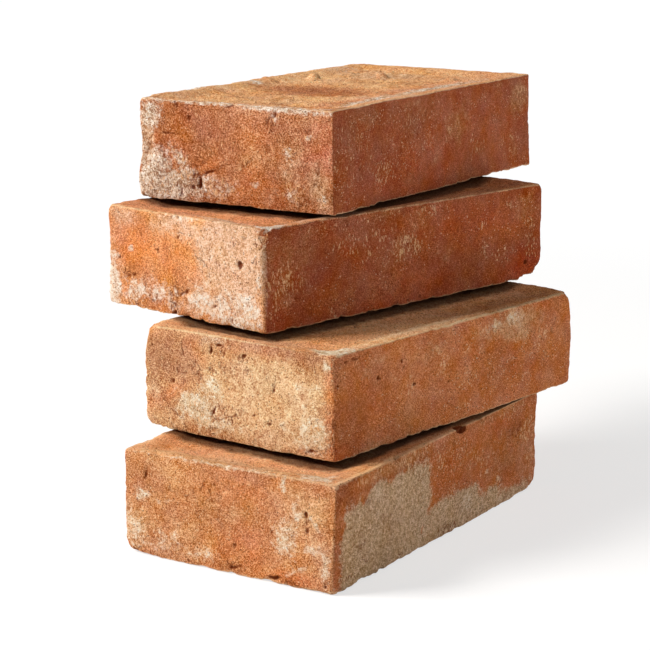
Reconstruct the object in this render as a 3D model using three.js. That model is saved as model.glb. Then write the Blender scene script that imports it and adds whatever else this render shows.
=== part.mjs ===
// A stack of four hand-moulded clay bricks, each lying flat on the one below, turned a few
// degrees and pulled back a little. Millimetres, +Z up. The origin is the middle of the
// bottom brick's underside. +Y runs along that brick, and its front header faces -Y.
import * as THREE from 'three';
import { mergeVertices } from 'three/addons/utils/BufferGeometryUtils.js';

// The size a brick has by its mould. Drying and firing change each one a little.
const mouldLength = 225;
const mouldWidth = 120;
const mouldHeight = 55;

const bedGap = 0.3; // air between two bricks where one lies on the other
const uprightReach = 7; // distance in plan at which a worn upright edge's wear has ended
const cornerReach = 3; // the same at a worn corner, in times its wear

// A face is divided finely near its edges, where it curves, and coarsely in the middle.
const edgeSteps = [0, 0.6, 1.6, 3.6, 7.5, 13]; // distances from the edge
const middleParts = { width: 2, length: 4, height: 2 };

// The bricks from the ground up. Front is -Y and right is +X on each brick.
//   fired    the fired size less the mould's
//   centre   the middle of the brick in plan, and turn in degrees, anticlockwise from above
//   arris    the rounding of all its edges
//   uprights its four upright edges: what wear adds to the rounding along the edge, and for
//            the bottom and top corner [what wear adds there, shift in X, shift in Y], the
//            shift being how far firing has pulled that corner out of square
const bricks = [
  {
    name: 'brick_bottom',
    clay: { color: 0xc58359, roughness: 0.92 },
    fired: { length: -1.6, width: 4.1, height: 0 },
    centre: [0, 0],
    turn: 0,
    arris: 1,
    uprights: {
      frontLeft: { worn: 0.3, bottom: [2.5, -0.3, 2.2], top: [0.8, -0.8, 1.4] },
      frontRight: { worn: 0, bottom: [0, 2, -3], top: [1.2, 2.2, -0.6] },
      backLeft: { worn: 0.5, bottom: [2, 0, 0], top: [1, 0, 0] },
      backRight: { worn: 0.3, bottom: [5.5, 0.3, 0.8], top: [1.5, 0.2, -0.3] },
    },
  },
  {
    name: 'brick_second',
    clay: { color: 0xc38c62, roughness: 0.94 },
    fired: { length: -5.1, width: 3, height: -0.5 },
    centre: [-3.8, 33.2],
    turn: -6.9,
    arris: 1.2,
    uprights: {
      frontLeft: { worn: 0.6, bottom: [3.5, -1, -1.2], top: [4.5, -0.7, -0.7] },
      frontRight: { worn: 1.2, bottom: [0, 0.7, 1.4], top: [1, -0.6, 1.9] },
      backLeft: { worn: 1, bottom: [2, 0, 0], top: [2, 0, 0] },
      backRight: { worn: 0.3, bottom: [0, 0, 0.2], top: [6.5, 1.7, -0.5] },
    },
  },
  {
    name: 'brick_third',
    clay: { color: 0xbd7549, roughness: 0.9 },
    fired: { length: 1.1, width: -0.6, height: -0.5 },
    centre: [-43.1, 61.1],
    turn: -12.2,
    arris: 1.1,
    uprights: {
      frontLeft: { worn: 0.3, bottom: [0, 0.2, 0.9], top: [1.5, 1.1, -0.7] },
      frontRight: { worn: 1.8, bottom: [0, 0.3, 0], top: [4, -1.5, -0.1] },
      backLeft: { worn: 1, bottom: [3, 0, 0], top: [2.5, 0, 0] },
      backRight: { worn: 0.3, bottom: [4, 0.7, 0.6], top: [1.6, -0.4, -0.1] },
    },
  },
  {
    name: 'brick_top',
    clay: { color: 0xb36c48, roughness: 0.9 },
    fired: { length: 6.6, width: 1.6, height: 0.3 },
    centre: [-59.8, 102.2],
    turn: 0.3,
    arris: 0.8,
    uprights: {
      frontLeft: { worn: 0.5, bottom: [2.2, -0.7, -0.5], top: [1.8, -0.1, -1] },
      frontRight: { worn: 0, bottom: [0.2, 0.1, 0.9], top: [0.7, -0.1, -0.5] },
      backLeft: { worn: 1, bottom: [2, 0, 0], top: [2, 0.4, 0.3] },
      backRight: { worn: 0.2, bottom: [0.4, 1.4, 0.5], top: [0.4, -0.7, 0.9] },
    },
  },
];

// The places along one side where its face is divided, measured from the middle.
function stations(size, parts) {
  const nearEdge = edgeSteps.map((step) => step - size / 2);
  const middleStart = nearEdge[nearEdge.length - 1];
  const middle = [];
  for (let i = 1; i < parts; i += 1) {
    middle.push(middleStart * (1 - (2 * i) / parts));
  }
  return [...nearEdge, ...middle, ...nearEdge.map((place) => -place).reverse()];
}

// The upright edges of a box with its middle at the origin, each with its two corners.
function placeUprights(uprights, half) {
  return Object.entries(uprights).map(([name, { worn, bottom, top }]) => {
    const side = new THREE.Vector2(
      name.endsWith('Right') ? 1 : -1,
      name.startsWith('back') ? 1 : -1,
    );
    const place = new THREE.Vector2(side.x * half.x, side.y * half.y);
    const corners = [[bottom, -1], [top, 1]].map(([[cornerWorn, x, y], sideZ]) => ({
      side: sideZ,
      place: new THREE.Vector3(place.x, place.y, sideZ * half.z),
      worn: cornerWorn,
      shift: new THREE.Vector2(x, y),
    }));
    return { side, place, worn, corners };
  });
}

// What is left of some wear at a distance from where it is greatest.
function wornAt(distance, worn, reach) {
  return worn * (1 - THREE.MathUtils.smoothstep(distance, 0, reach));
}

// How far the brick is rounded at a point on its faces.
function radiusAt(point, arris, uprights) {
  let radius = arris;
  for (const { place, worn, corners } of uprights) {
    radius += wornAt(Math.hypot(point.x - place.x, point.y - place.y), worn, uprightReach);
    for (const corner of corners) {
      radius += wornAt(point.distanceTo(corner.place), corner.worn, cornerReach * corner.worn);
    }
  }
  return radius;
}

// Moves a point in plan by its share of each corner's shift.
function pullOutOfSquare(point, uprights, half) {
  const moved = point.clone();
  for (const { side, corners } of uprights) {
    for (const corner of corners) {
      const share =
        (0.5 + (0.5 * side.x * point.x) / half.x) *
        (0.5 + (0.5 * side.y * point.y) / half.y) *
        (0.5 + (0.5 * corner.side * point.z) / half.z);
      moved.x += share * corner.shift.x;
      moved.y += share * corner.shift.y;
    }
  }
  return moved;
}

// One brick as a closed surface, with its middle at the origin and its length along Y.
function brickGeometry({ fired, arris, uprights: edges }) {
  const size = new THREE.Vector3(
    mouldWidth + fired.width,
    mouldLength + fired.length,
    mouldHeight + fired.height,
  );
  const half = size.clone().multiplyScalar(0.5);
  const uprights = placeUprights(edges, half);
  const across = stations(size.x, middleParts.width);
  const along = stations(size.y, middleParts.length);
  const up = stations(size.z, middleParts.height);

  // A unit box whose steps are moved to the stations.
  const box = new THREE.BoxGeometry(1, 1, 1, across.length - 1, along.length - 1, up.length - 1);
  box.deleteAttribute('normal');
  box.deleteAttribute('uv');
  const geometry = mergeVertices(box);
  const position = geometry.getAttribute('position');
  const stationOf = (places, share) => places[Math.round((share + 0.5) * (places.length - 1))];

  const point = new THREE.Vector3();
  for (let i = 0; i < position.count; i += 1) {
    point.fromBufferAttribute(position, i);
    point.set(stationOf(across, point.x), stationOf(along, point.y), stationOf(up, point.z));

    // The rounded box: a ball of the local radius rolled along the inside of the faces.
    const radius = radiusAt(point, arris, uprights);
    const room = half.clone().subScalar(radius);
    const ball = point.clone().clamp(room.clone().negate(), room);
    const out = point.clone().sub(ball).setLength(radius);

    const { x, y, z } = pullOutOfSquare(ball.add(out), uprights, half);
    position.setXYZ(i, x, y, z);
  }
  geometry.computeVertexNormals();
  return geometry;
}

const stack = new THREE.Group();
let bedHeight = 0;
for (const brick of bricks) {
  const clay = new THREE.MeshStandardMaterial({ ...brick.clay, metalness: 0 });
  const mesh = new THREE.Mesh(brickGeometry(brick), clay);
  const height = mouldHeight + brick.fired.height;
  mesh.name = brick.name;
  mesh.position.set(...brick.centre, bedHeight + height / 2);
  mesh.rotation.z = THREE.MathUtils.degToRad(brick.turn);
  stack.add(mesh);
  bedHeight += height + bedGap;
}

export default stack;
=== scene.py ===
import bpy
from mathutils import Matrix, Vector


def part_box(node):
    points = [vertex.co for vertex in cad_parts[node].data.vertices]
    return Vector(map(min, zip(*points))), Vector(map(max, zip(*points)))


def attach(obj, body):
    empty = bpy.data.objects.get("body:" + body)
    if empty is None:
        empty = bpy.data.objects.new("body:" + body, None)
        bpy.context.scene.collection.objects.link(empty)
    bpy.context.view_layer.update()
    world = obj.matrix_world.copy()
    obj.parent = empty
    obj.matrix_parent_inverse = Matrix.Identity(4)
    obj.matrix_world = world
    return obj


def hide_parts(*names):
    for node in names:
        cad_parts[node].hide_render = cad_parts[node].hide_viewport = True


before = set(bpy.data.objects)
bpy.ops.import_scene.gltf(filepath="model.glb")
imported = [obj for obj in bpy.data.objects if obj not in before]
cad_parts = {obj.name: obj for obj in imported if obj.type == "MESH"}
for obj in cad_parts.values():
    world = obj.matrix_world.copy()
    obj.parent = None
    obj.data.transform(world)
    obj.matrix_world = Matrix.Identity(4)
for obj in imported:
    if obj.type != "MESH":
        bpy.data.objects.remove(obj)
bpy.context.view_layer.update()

import math
from functools import partial
import bpy
from mathutils import Euler, Vector

mm = 0.001  # a millimetre in metres


# Adds one node, sets it, fills or links its inputs, and gives back its first live output.
def addNode(tree, kind, inputs=None, **settings):
    node = tree.nodes.new(kind)
    for name, value in settings.items():
        setattr(node, name, value)
    for key, value in (inputs or {}).items():
        byName = (socket for socket in node.inputs if socket.enabled and socket.name == key)
        socket = node.inputs[key] if isinstance(key, int) else next(byName)
        if isinstance(value, bpy.types.NodeSocket):
            tree.links.new(value, socket)
        else:
            socket.default_value = value
    return next((socket for socket in node.outputs if socket.enabled), None)


# An sRGB hex colour as the linear colour that a node takes.
def linear(colour):
    shares = [int(colour[i:i + 2], 16) / 255 for i in (1, 3, 5)]
    curved = [s / 12.92 if s <= 0.04045 else ((s + 0.055) / 1.055) ** 2.4 for s in shares]
    return (*curved, 1)


cameraLook = {
    "place": (0.5755, -0.9755, 0.3493),
    "turn": 31.0,      # degrees about Z from looking along +Y
    "down": 12.16,     # degrees below level
    "roll": 0.385,     # degrees
    "lens": 121.6,     # mm, on the sensor's width
    "sensor": 36,      # mm
}


def makeCamera(look):
    data = bpy.data.cameras.new("camera")
    data.lens = look["lens"]
    data.sensor_width = look["sensor"]
    camera = bpy.data.objects.new("camera", data)
    camera.location = look["place"]
    aim = Euler((math.radians(90 - look["down"]), 0, math.radians(look["turn"]))).to_matrix()
    roll = Euler((0, 0, math.radians(look["roll"]))).to_matrix()
    camera.rotation_euler = (aim @ roll).to_euler()
    bpy.context.scene.collection.objects.link(camera)
    bpy.context.scene.camera = camera


# The faces that can have marks: the axis of u, the axis of v, and the side of the brick that
# the face is on. A mark is one soft spot: (u, v, half length, half height, amount), and after
# that, if it has one, its turn in degrees from u towards v. u is mm from the brick's left, or
# on its left and right faces from its front. v is mm from its underside, or on its top from
# its front.
faceAxes = {
    "front": (0, 2, -1), "back": (0, 2, 1), "left": (1, 2, -1), "right": (1, 2, 1),
    "top": (0, 1, 1),
}
wideSpot = 4  # mm, the least half size above which a spot has the more ragged edge

# The kinds of mark: how far the edge of a spot fades, and how deep it reaches, in mm.
markKinds = {
    "dents": (0.6, 3), "hollows": (4, 6), "knobs": (1.5, 4),
    "lime": (6, 6), "sand": (9, 6), "dust": (8, 6), "orange": (8, 6), "red": (8, 6),
    "pink": (8, 6), "brown": (8, 6), "flecks": (3, 6), "burnt": (2, 6), "mortar": (5, 5),
}
coverKinds = [name for name in markKinds if name not in ("dents", "hollows", "knobs")]


# One spot as a soft mask: an ellipsoid, or a rounded box where Square is 1.
def makeSpotGroup():
    tree = bpy.data.node_groups.new("spot on a face", "GeometryNodeTree")
    sockets = {
        "Place": "NodeSocketVector", "Centre": "NodeSocketVector", "Radii": "NodeSocketVector",
        "Axis": "NodeSocketVector", "Turn": "NodeSocketFloat", "Reach": "NodeSocketFloat",
        "Soft": "NodeSocketFloat", "Square": "NodeSocketFloat", "Amount": "NodeSocketFloat",
    }
    for name, kind in sockets.items():
        tree.interface.new_socket(name, in_out="INPUT", socket_type=kind)
    tree.interface.new_socket("Mask", in_out="OUTPUT", socket_type="NodeSocketFloat")
    given = tree.nodes.new("NodeGroupInput").outputs
    add = partial(addNode, tree)
    turned = add("ShaderNodeVectorRotate", {
        "Vector": given["Place"], "Center": given["Centre"], "Axis": given["Axis"],
        "Angle": given["Turn"]}, rotation_type="AXIS_ANGLE")
    away = add("ShaderNodeVectorMath", {0: turned, 1: given["Centre"]}, operation="SUBTRACT")
    share = add("ShaderNodeVectorMath", {0: away, 1: given["Radii"]}, operation="DIVIDE")
    rounded = add("ShaderNodeVectorMath", {0: share}, operation="LENGTH")
    squared = add("ShaderNodeVectorMath", {0: share, 1: share}, operation="MULTIPLY")
    squaredLength = add("ShaderNodeVectorMath", {0: squared}, operation="LENGTH")
    boxy = add("ShaderNodeMath", {0: squaredLength}, operation="SQRT")
    size = add("ShaderNodeMix", {"Factor": given["Square"], "A": rounded, "B": boxy})
    pastEdge = add("ShaderNodeMath", {0: size, 1: 1.0}, operation="SUBTRACT")
    distance = add("ShaderNodeMath", {0: pastEdge, 1: given["Reach"]}, operation="MULTIPLY")
    inner = add("ShaderNodeMath", {0: given["Soft"], 1: -1.0}, operation="MULTIPLY")
    mask = add("ShaderNodeMapRange", {
        "Value": distance, "From Min": inner, "From Max": given["Soft"], "To Min": given["Amount"],
        "To Max": 0.0}, interpolation_type="SMOOTHSTEP")
    add("NodeGroupOutput", {"Mask": mask})
    return tree


# The largest of a brick's marks of one kind at each point, as one mask. Where shown is given,
# a mark stays on its own face.
def joinMarks(tree, spotGroup, places, brick, kind, shown=None):
    add = partial(addNode, tree)
    size = Vector(brick["size"])
    soft, deep = markKinds[kind]
    wide, narrow = places
    joined = 0.0
    for face, marks in brick[kind].items():
        first, second, side = faceAxes[face]
        depth = 3 - first - second
        across, upward = Vector(), Vector()
        across[first] = 1
        upward[second] = 1
        largest = 0.0
        for u, v, long, high, amount, *turn in marks:
            least = min(long, high)
            centre = across * u + upward * v - size / 2
            centre[depth] = side * size[depth] / 2
            radii = across * long + upward * high
            radii[depth] = deep
            mask = add("GeometryNodeGroup", {
                "Place": wide if least > wideSpot else narrow, "Centre": centre, "Radii": radii,
                "Axis": across.cross(upward), "Turn": math.radians(-turn[0] if turn else 0),
                "Reach": least, "Soft": min(soft, least),
                "Square": 1.0 if kind == "mortar" else 0.0, "Amount": amount}, node_tree=spotGroup)
            largest = add("ShaderNodeMath", {0: largest, 1: mask}, operation="MAXIMUM")
        if shown:
            largest = add("ShaderNodeMath", {0: largest, 1: shown[face]}, operation="MULTIPLY")
        joined = add("ShaderNodeMath", {0: joined, 1: largest}, operation="MAXIMUM")
    return joined


brickInputs = {
    "Centre": "NodeSocketVector",    # the brick's middle, in metres
    "Turn": "NodeSocketFloat",       # radians, anticlockwise from above
    "Box": "NodeSocketVector",       # the grid that is laid on the brick, in mm
    "Across": "NodeSocketInt", "Along": "NodeSocketInt", "Up": "NodeSocketInt",
    "Seed": "NodeSocketFloat",
    "Wave": "NodeSocketFloat",       # mm, from the clay's push into the mould
    "Lumps": "NodeSocketFloat",      # mm, folds and lumps of the hand-thrown clot
    "Sand": "NodeSocketFloat",       # mm, the moulding sand's roughness
    "Pits": "NodeSocketFloat",       # mm, holes of burnt-out lumps and dropped grit
    "Chips": "NodeSocketFloat",      # mm, knocked-off bits of the arrises
    "Dish": "NodeSocketFloat",       # mm, how far the struck top sinks inside its rim
    "Struck": "NodeSocketFloat",     # mm, how torn the struck top is
    "Wear": "NodeSocketFloat",       # mm, the uneven rounding of the arrises
    "Above": "NodeSocketObject",     # the brick that lies on this one, if any
    "Clay": "NodeSocketMaterial",
}

# What the shape of all four bricks shares, in mm where it is a length.
moulding = {
    "gridStep": 1.0,       # between the points of the grid
    "gridProud": 1.2,      # by which the grid starts outside the brick
    "arrisTurn": 6,        # from an arris, within which the way out of the brick turns
    "arrisReach": 5.0,     # from an arris, to which it chips and wears
    "rim": (4.0, 17.0),    # from the sides of the struck top, where its dish starts and is full
    "rimWave": 4.0,        # by which the rim's width varies
    "level": (0.6, 0.95),  # how far up or down a place faces where a bed starts and is full
    "faced": (0.45, 0.8),  # how far out it faces where a side's covers start and are full
    "chipped": (0.02, 0.5),     # of the chips' noise, where chips start and are at their deepest
    "pitSpacing": 5.5,
    "pitsMissing": 0.35,   # the share of the places for a pit that have none
    "pitReach": 0.34,      # the largest pit's half width, in spacings
    "pitWall": 0.16,       # the width of a pit's wall, in spacings
    "limeProud": (0.25, 0.9),   # the crust of lime's thickness, and by how much it varies
    "mortarProud": 0.35,
    "bedSink": 0.35,       # by which the beds' relief is lowered, to lie under their planes
    "stain": (1.0, 8.0),   # from the brick above, where its painted shade is full and has ended
    "contactShadeWave": 2.5,      # by which the painted shade's width varies
}

# The shape's noises: wavelength in mm, shift of the seed, detail and roughness.
shapePatterns = {
    "wave": (52, 0.0, 1.0, 0.5),
    "lumps": (13, 1.3, 2.0, 0.5),
    "sand": (3.4, 2.7, 2.0, 0.6),
    "rim": (26, 7.7, 1.0, 0.5),
    "struck": (5.5, 8.8, 3.0, 0.62),
    "chips": (11, 4.1, 3.0, 0.6),
    "wear": (19, 6.4, 4.0, 0.65),
    "pits": (24, 2.2, 2.0, 0.5),
    "dents": (1.8, 9.9, 1.0, 0.5),
    "lime": (2.6, 5.5, 2.0, 0.7),
    "stain": (6, 3.1, 2.0, 0.5),
}

# How the edges of spots are shaken: wavelength and most, in mm.
shakenEdges = {"cloudy": (13, 7), "wiggly": (4, 2.2), "bent": (9, 2)}


# The tree that lays a fine grid on a brick of the frame and works its surface.
def makeBrickTree(brick, spotGroup):
    size = Vector(brick["size"])
    tree = bpy.data.node_groups.new("hand-moulded brick", "GeometryNodeTree")
    tree.interface.new_socket("Geometry", in_out="INPUT", socket_type="NodeSocketGeometry")
    for name, kind in brickInputs.items():
        tree.interface.new_socket(name, in_out="INPUT", socket_type=kind)
    tree.interface.new_socket("Geometry", in_out="OUTPUT", socket_type="NodeSocketGeometry")
    given = tree.nodes.new("NodeGroupInput").outputs
    add = partial(addNode, tree)

    # The frame's brick and the one above it, with this brick's middle moved to the origin,
    # unturned and in millimetres.
    above = add("GeometryNodeObjectInfo", {"Object": given["Above"]}).node.outputs
    away = add("ShaderNodeVectorMath", {0: given["Centre"], "Scale": -1.0}, operation="SCALE")
    unturn = add("ShaderNodeMath", {0: given["Turn"], 1: -1.0}, operation="MULTIPLY")
    unturnXyz = add("ShaderNodeCombineXYZ", {"Z": unturn})
    unturned = []
    for geometry in (given["Geometry"], above["Geometry"]):
        centred = add("GeometryNodeTransform", {"Geometry": geometry, "Translation": away})
        unturned.append(add("GeometryNodeTransform", {
            "Geometry": centred, "Rotation": unturnXyz, "Scale": (1 / mm, 1 / mm, 1 / mm)}))
    shell, brickAbove = unturned

    # A fine box, each of whose points goes to the nearest point of that brick.
    grid = add("GeometryNodeMeshCube", {
        "Size": given["Box"], "Vertices X": given["Across"], "Vertices Y": given["Along"],
        "Vertices Z": given["Up"]})
    nearest = add("GeometryNodeProximity", {"Geometry": shell}, target_element="FACES")
    laid = add("GeometryNodeSetPosition", {"Geometry": grid, "Position": nearest})

    # The smooth brick's places and normals, kept while its surface moves.
    capture = tree.nodes.new("GeometryNodeCaptureAttribute")
    capture.capture_items.new("VECTOR", "Place")
    capture.capture_items.new("VECTOR", "Normal")
    tree.links.new(laid, capture.inputs["Geometry"])
    tree.links.new(add("GeometryNodeInputPosition"), capture.inputs["Place"])
    tree.links.new(add("GeometryNodeInputNormal"), capture.inputs["Normal"])
    place, normal = capture.outputs["Place"], capture.outputs["Normal"]
    upper = add("ShaderNodeSeparateXYZ", {0: normal}).node.outputs["Z"]
    facing = add("ShaderNodeVectorMath", {0: normal}, operation="ABSOLUTE")
    facingZ = add("ShaderNodeSeparateXYZ", {0: facing}).node.outputs["Z"]
    levelStart, level = moulding["level"]
    bed = add("ShaderNodeMapRange", {
        "Value": facingZ, "From Min": levelStart, "From Max": level},
        interpolation_type="SMOOTHSTEP")
    facedStart, faced = moulding["faced"]
    shown = {}
    for face, (first, second, side) in faceAxes.items():
        out = Vector()
        out[3 - first - second] = side
        turnedOut = add("ShaderNodeVectorMath", {0: normal, 1: out}, operation="DOT_PRODUCT")
        shown[face] = add("ShaderNodeMapRange", {
            "Value": turnedOut, "From Min": facedStart, "From Max": faced},
            interpolation_type="SMOOTHSTEP")

    # The noises, each from -1 to 1.
    waves = {}
    for name, (wavelength, shift, detail, roughness) in shapePatterns.items():
        seed = add("ShaderNodeMath", {0: given["Seed"], 1: shift}, operation="ADD")
        noise = add("ShaderNodeTexNoise", {
            "Vector": place, "W": seed, "Scale": 1 / wavelength, "Detail": detail,
            "Roughness": roughness}, noise_dimensions="4D")
        waves[name] = add("ShaderNodeMath", {0: noise, 1: 2.0, 2: -1.0}, operation="MULTIPLY_ADD")

    # Places pushed about a little, so that the edge of each spot is ragged.
    shaken = {}
    for name, (wavelength, most) in shakenEdges.items():
        noise = add("ShaderNodeTexNoise", {
            "Vector": place, "Scale": 1 / wavelength, "Detail": 3.0, "Roughness": 0.6})
        centredNoise = add("ShaderNodeVectorMath", {
            0: noise.node.outputs["Color"], 1: (0.5, 0.5, 0.5)}, operation="SUBTRACT")
        push = add("ShaderNodeVectorMath", {0: centredNoise, "Scale": 2 * most}, operation="SCALE")
        shaken[name] = add("ShaderNodeVectorMath", {0: place, 1: push}, operation="ADD")
    cloudy, wiggly, bent = shaken["cloudy"], shaken["wiggly"], shaken["bent"]

    # The way out of the brick: square to a face in its middle, and turning slowly round an
    # arris.
    turning = moulding["arrisTurn"]
    coreHalf = size / 2 - Vector((turning, turning, turning))
    aboveCore = add("ShaderNodeVectorMath", {0: place, 1: -coreHalf}, operation="MAXIMUM")
    core = add("ShaderNodeVectorMath", {0: aboveCore, 1: coreHalf}, operation="MINIMUM")
    fromCore = add("ShaderNodeVectorMath", {0: place, 1: core}, operation="SUBTRACT")
    outwards = add("ShaderNodeVectorMath", {0: fromCore}, operation="NORMALIZE")

    # How near a point is to an arris: the second nearest of the three pairs of faces.
    inside = add("ShaderNodeVectorMath", {0: place}, operation="ABSOLUTE")
    toFaces = add("ShaderNodeVectorMath", {0: size / 2, 1: inside}, operation="SUBTRACT")
    depths = add("ShaderNodeSeparateXYZ", {0: toFaces}).node.outputs
    lowXy = add("ShaderNodeMath", {0: depths["X"], 1: depths["Y"]}, operation="MINIMUM")
    highXy = add("ShaderNodeMath", {0: depths["X"], 1: depths["Y"]}, operation="MAXIMUM")
    lowZ = add("ShaderNodeMath", {0: depths["Z"], 1: lowXy}, operation="MAXIMUM")
    toArris = add("ShaderNodeMath", {0: lowZ, 1: highXy}, operation="MINIMUM")
    atArris = add("ShaderNodeMapRange", {
        "Value": toArris, "From Min": 0.0, "From Max": moulding["arrisReach"], "To Min": 1.0,
        "To Max": 0.0}, interpolation_type="SMOOTHSTEP")

    # The struck top: a rim along its arrises, and inside it a shallow dish, torn by the
    # striker.
    rimStart, rimEnd = moulding["rim"]
    unevenRim = add("ShaderNodeMath", {
        0: waves["rim"], 1: moulding["rimWave"], 2: lowXy}, operation="MULTIPLY_ADD")
    dished = add("ShaderNodeMapRange", {
        "Value": unevenRim, "From Min": rimStart, "From Max": rimEnd},
        interpolation_type="SMOOTHSTEP")
    onTop = add("ShaderNodeMapRange", {"Value": upper, "From Min": levelStart, "From Max": level})
    dish = add("ShaderNodeMath", {0: dished, 1: onTop}, operation="MULTIPLY")
    torn = add("ShaderNodeMath", {0: dish, 1: waves["struck"]}, operation="MULTIPLY")

    # Knocked-off bits, on some stretches of arris more than on others, and uneven wear.
    chipStart, chipDeepest = moulding["chipped"]
    chipping = add("ShaderNodeMapRange", {
        "Value": waves["chips"], "From Min": chipStart, "From Max": chipDeepest},
        interpolation_type="SMOOTHSTEP")
    chips = add("ShaderNodeMath", {0: atArris, 1: chipping}, operation="MULTIPLY")
    wearing = add("ShaderNodeMapRange", {
        "Value": waves["wear"], "From Min": -0.5, "From Max": 0.5, "To Min": -0.45, "To Max": 1.0})
    wear = add("ShaderNodeMath", {0: atArris, 1: wearing}, operation="MULTIPLY")

    # Pits: at most one in each cell of a Voronoi pattern, of random size, and in clusters.
    pitSeed = add("ShaderNodeMath", {0: given["Seed"], 1: 9.3}, operation="ADD")
    cells = add("ShaderNodeTexVoronoi", {
        "Vector": wiggly, "W": pitSeed, "Scale": 1 / moulding["pitSpacing"]},
        voronoi_dimensions="4D")
    chance = add("ShaderNodeSeparateXYZ", {0: cells.node.outputs["Color"]})
    pitSize = add("ShaderNodeMapRange", {
        "Value": chance, "From Min": moulding["pitsMissing"], "From Max": 1.0, "To Min": 0.0,
        "To Max": moulding["pitReach"]})
    pitShape = add("ShaderNodeMath", {0: pitSize, 1: cells}, operation="SUBTRACT")
    pitDepth = add("ShaderNodeMapRange", {
        "Value": pitShape, "From Min": 0.0, "From Max": moulding["pitWall"]},
        interpolation_type="SMOOTHSTEP")
    cluster = add("ShaderNodeMapRange", {
        "Value": waves["pits"], "From Min": -0.25, "From Max": 0.25})
    pits = add("ShaderNodeMath", {0: pitDepth, 1: cluster}, operation="MULTIPLY")

    # The brick's own dents, cracks and lumps, and its covers of other colours.
    hollows = joinMarks(tree, spotGroup, (cloudy, wiggly), brick, "hollows")
    knobs = joinMarks(tree, spotGroup, (wiggly, wiggly), brick, "knobs")
    cleanDents = joinMarks(tree, spotGroup, (wiggly, bent), brick, "dents")
    crumbling = add("ShaderNodeMapRange", {
        "Value": waves["dents"], "From Min": -0.4, "From Max": 0.4, "To Min": 0.2, "To Max": 1.4})
    dents = add("ShaderNodeMath", {0: cleanDents, 1: crumbling}, operation="MULTIPLY")
    covers = {kind: joinMarks(tree, spotGroup, (cloudy, wiggly), brick, kind, shown)
              for kind in coverKinds}

    # How near a point of the top is to the brick on it, for the painted shade along that brick.
    contactShadeStart, contactShadeEnd = moulding["stain"]
    toAbove = add("GeometryNodeProximity", {
        "Geometry": brickAbove, "Sample Position": place}, target_element="FACES").node.outputs
    unevenGap = add("ShaderNodeMath", {
        0: waves["stain"], 1: moulding["contactShadeWave"], 2: toAbove["Distance"]},
        operation="MULTIPLY_ADD")
    near = add("ShaderNodeMapRange", {
        "Value": unevenGap, "From Min": contactShadeStart, "From Max": contactShadeEnd, "To Min": 1.0,
        "To Max": 0.0}, interpolation_type="SMOOTHSTEP")
    nearBrick = add("ShaderNodeMath", {0: near, 1: toAbove["Is Valid"]}, operation="MULTIPLY")
    facesUp = add("ShaderNodeMapRange", {"Value": upper, "From Min": 0.5, "From Max": 0.9})
    contact = add("ShaderNodeMath", {0: nearBrick, 1: facesUp}, operation="MULTIPLY")

    # All heights together, in mm, out of the face: what stands proud, less what is lost.
    limeThickness, limeVaries = moulding["limeProud"]
    limeHeight = add("ShaderNodeMath", {
        0: waves["lime"], 1: limeVaries, 2: limeThickness}, operation="MULTIPLY_ADD")
    proud = [
        (waves["wave"], given["Wave"]), (waves["lumps"], given["Lumps"]),
        (waves["sand"], given["Sand"]), (torn, given["Struck"]),
        (covers["lime"], limeHeight), (covers["mortar"], moulding["mortarProud"]),
    ]
    lost = [
        (pits, given["Pits"]), (chips, given["Chips"]), (wear, given["Wear"]),
        (dish, given["Dish"]), (dents, 1.0), (hollows, 1.0),
    ]
    sums = []
    for heights in (proud, lost):
        total = 0.0
        for share, most in heights:
            total = add("ShaderNodeMath", {0: share, 1: most, 2: total}, operation="MULTIPLY_ADD")
        sums.append(total)
    height = add("ShaderNodeMath", {0: sums[0], 1: sums[1]}, operation="SUBTRACT")
    sunk = add("ShaderNodeMath", {0: height, 1: moulding["bedSink"]}, operation="SUBTRACT")
    sunkOnly = add("ShaderNodeMath", {0: sunk, 1: 0.0}, operation="MINIMUM")
    ofFace = add("ShaderNodeMix", {"Factor": bed, "A": height, "B": sunkOnly})
    withKnobs = add("ShaderNodeMath", {0: ofFace, 1: knobs}, operation="ADD")
    push = add("ShaderNodeVectorMath", {0: outwards, "Scale": withKnobs}, operation="SCALE")
    pushed = add("ShaderNodeVectorMath", {0: place, 1: push}, operation="ADD")

    # Nothing but a knob stands above the beds, or the bricks would not lie flat.
    highestZ = add("ShaderNodeMath", {0: knobs, 1: size.z / 2}, operation="ADD")
    highest = add("ShaderNodeCombineXYZ", {"X": size.x, "Y": size.y, "Z": highestZ})
    lowered = add("ShaderNodeVectorMath", {0: pushed, 1: highest}, operation="MINIMUM")
    lowest = (-size.x, -size.y, -size.z / 2)
    kneaded = add("ShaderNodeVectorMath", {0: lowered, 1: lowest}, operation="MAXIMUM")
    worked = add("GeometryNodeSetPosition", {
        "Geometry": capture.outputs["Geometry"], "Position": kneaded})

    # What the clay's material reads.
    # The depth of the pits and dents, which the material darkens as painted shade.
    cavity = add("ShaderNodeMath", {0: pits, 1: dents}, operation="MAXIMUM")
    kept = {"facing": facing, "cavity": cavity, "arris": atArris, "contact": contact, **covers}
    for name, value in kept.items():
        worked = add("GeometryNodeStoreNamedAttribute", {
            "Geometry": worked, "Name": name, "Value": value},
            data_type="FLOAT_VECTOR" if name == "facing" else "FLOAT", domain="POINT")

    # Back to metres and to the brick's own place.
    turnXyz = add("ShaderNodeCombineXYZ", {"Z": given["Turn"]})
    placed = add("GeometryNodeTransform", {
        "Geometry": worked, "Translation": given["Centre"], "Rotation": turnXyz,
        "Scale": (mm, mm, mm)})
    smooth = add("GeometryNodeSetShadeSmooth", {"Geometry": placed})
    real = add("GeometryNodeRealizeInstances", {"Geometry": smooth})
    clay = add("GeometryNodeSetMaterial", {"Geometry": real, "Material": given["Clay"]})
    add("NodeGroupOutput", {"Geometry": clay})
    return tree


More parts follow.
